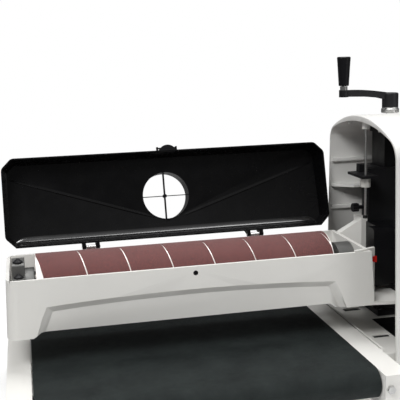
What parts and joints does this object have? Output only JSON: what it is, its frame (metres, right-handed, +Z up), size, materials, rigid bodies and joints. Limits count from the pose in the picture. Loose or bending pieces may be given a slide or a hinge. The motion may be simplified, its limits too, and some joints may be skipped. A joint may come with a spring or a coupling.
{
  "type": "drum sander",
  "caption": "Open-ended drum sander: wrapped drum in a cast carriage with a hinged dust cover, raised by a crank on a column over a conveyor.",
  "frame": {"origin": "centre of the four stand bolt holes, on the underside of the base", "axes": "+Z up; +X along the drum from its free end towards the column and motor; +Y from the infeed side, where the crank operator stands, to the outfeed side"},
  "size_m": [1.097, 0.582, 0.6591],
  "materials": {
    "cast_paint": "satin",
    "shell_white": "satin",
    "black_plastic": "satin",
    "black_paint": "satin",
    "grey_paint": "satin",
    "steel": "satin",
    "dark_steel": "satin",
    "chromed": "polished",
    "cast_iron": "rough",
    "aluminium": "satin",
    "bronze": "satin",
    "abrasive": "rough",
    "belt_cloth": "rough",
    "rubber": "rough",
    "bush_nylon": "satin",
    "red_plastic": "glossy",
    "red_switch": "glossy"
  },
  "bodies": {
    "base": {"base_casting": "cast_paint", "column_post": "black_paint", "column_cap": "black_paint", "housing_front": "shell_white", "housing_rear": "shell_white", "guide_rod": "steel", "depth_scale": "black_paint", "side_frame_left": "cast_paint", "side_frame_right": "cast_paint", "conveyor_bed": "steel", "conveyor_belt": "belt_cloth", "roller_bearings": "bronze", "takeup_screws": "steel", "gear_motor": "black_paint", "control_box": "black_plastic", "cable_gland": "black_plastic"},
    "carriage": {"carriage_casting": "cast_paint", "saddle_block": "black_paint", "saddle_gibs": "bronze", "lift_nut": "bronze", "rod_bracket": "black_paint", "rod_bush": "bush_nylon", "flange_bolts": "dark_steel", "depth_pointer": "red_plastic", "coupling_guard": "black_plastic", "motor_mount": "black_paint", "drum_motor": "black_paint", "motor_fan_cover": "black_plastic", "drum_bearings": "steel", "outboard_block": "cast_iron", "outboard_bearing_housing": "cast_iron", "inboard_bearing_housing": "cast_iron", "outboard_bolts": "dark_steel", "hinge_pins": "steel", "front_pressure_springs": "steel", "rear_pressure_springs": "steel"},
    "drum": {"drum_tube": "aluminium", "drum_end_discs": "aluminium", "drum_shaft": "steel", "abrasive_wrap": "abrasive", "coupling_hubs": "cast_iron", "coupling_spider": "rubber", "motor_shaft": "steel"},
    "front_carriers": {"front_roller_carriers": "black_paint"},
    "rear_carriers": {"rear_roller_carriers": "black_paint"},
    "front_roller": {"front_pressure_roller": "steel"},
    "rear_roller": {"rear_pressure_roller": "steel"},
    "cover": {"dust_cover": "black_plastic", "dust_port": "black_plastic"},
    "latch": {"latch_lever": "black_plastic"},
    "crank": {"lift_screw": "steel", "hub_collar": "chromed", "crank_arm": "black_paint", "grip_bolt": "chromed"},
    "grip": {"crank_grip": "black_plastic"},
    "drive": {"drive_roller": "rubber"},
    "idler": {"idler_roller": "steel"},
    "knob": {"speed_knob": "black_plastic"},
    "lock": {"lock_knob": "black_plastic"},
    "switch": {"switch_paddle": "red_switch"}
  },
  "joints": [
    {"name": "crank_turn", "type": "hinge", "parent": "base", "child": "crank", "pos_m": [0.356, 0.075, 0.5584], "axis": [0, 0, -1], "range_deg": [-12020, 10886]},
    {"name": "carriage_lift", "type": "slide", "parent": "base", "child": "carriage", "axis": [0, 0, 1], "range_m": [-0.053, 0.048]},
    {"name": "drum_spin", "type": "hinge", "parent": "carriage", "child": "drum", "pos_m": [-0.095, 0, 0.2584], "axis": [1, 0, 0], "continuous": true},
    {"name": "front_carriers_rise", "type": "slide", "parent": "carriage", "child": "front_carriers", "axis": [0, 0, 1], "range_m": [0, 0.004], "stiffness_N_per_m": 3000, "springref_m": -0.006, "deforming": ["front_pressure_springs"]},
    {"name": "rear_carriers_rise", "type": "slide", "parent": "carriage", "child": "rear_carriers", "axis": [0, 0, 1], "range_m": [0, 0.004], "stiffness_N_per_m": 3000, "springref_m": -0.006, "deforming": ["rear_pressure_springs"]},
    {"name": "front_roller_spin", "type": "hinge", "parent": "front_carriers", "child": "front_roller", "pos_m": [-0.095, -0.054, 0.2015], "axis": [1, 0, 0], "continuous": true},
    {"name": "rear_roller_spin", "type": "hinge", "parent": "rear_carriers", "child": "rear_roller", "pos_m": [-0.095, 0.054, 0.2015], "axis": [1, 0, 0], "continuous": true},
    {"name": "cover_hinge", "type": "hinge", "parent": "carriage", "child": "cover", "pos_m": [-0.095, 0.0994, 0.3052], "axis": [1, 0, 0], "range_deg": [0, 105]},
    {"name": "latch_flip", "type": "hinge", "parent": "cover", "child": "latch", "pos_m": [-0.0965, 0.15924, 0.48525], "axis": [-1, 0, 0], "range_deg": [0, 25]},
    {"name": "grip_spin", "type": "hinge", "parent": "crank", "child": "grip", "pos_m": [0.255, 0.075, 0.6284], "axis": [0, 0, 1], "continuous": true},
    {"name": "drive_spin", "type": "hinge", "parent": "base", "child": "drive", "pos_m": [-0.095, 0.25, 0.1132], "axis": [1, 0, 0], "continuous": true},
    {"name": "idler_spin", "type": "hinge", "parent": "base", "child": "idler", "pos_m": [-0.095, -0.25, 0.1132], "axis": [1, 0, 0], "continuous": true},
    {"name": "speed_turn", "type": "hinge", "parent": "base", "child": "knob", "pos_m": [0.387, -0.226, 0.0784], "axis": [0, -1, 0], "range_deg": [0, 300]},
    {"name": "lock_turn", "type": "hinge", "parent": "carriage", "child": "lock", "pos_m": [0.271, 0.052, 0.3554], "axis": [1, 0, 0], "range_deg": [0, 180]},
    {"name": "switch_tip", "type": "hinge", "parent": "base", "child": "switch", "pos_m": [0.337, -0.224, 0.0784], "axis": [1, 0, 0], "range_deg": [-8, 8]}
  ],
  "couplings": [
    {"joint": "crank_turn", "follows": "carriage_lift", "rad_per_m": 3957.9},
    {"joint": "idler_spin", "follows": "drive_spin", "ratio": 1}
  ]
}
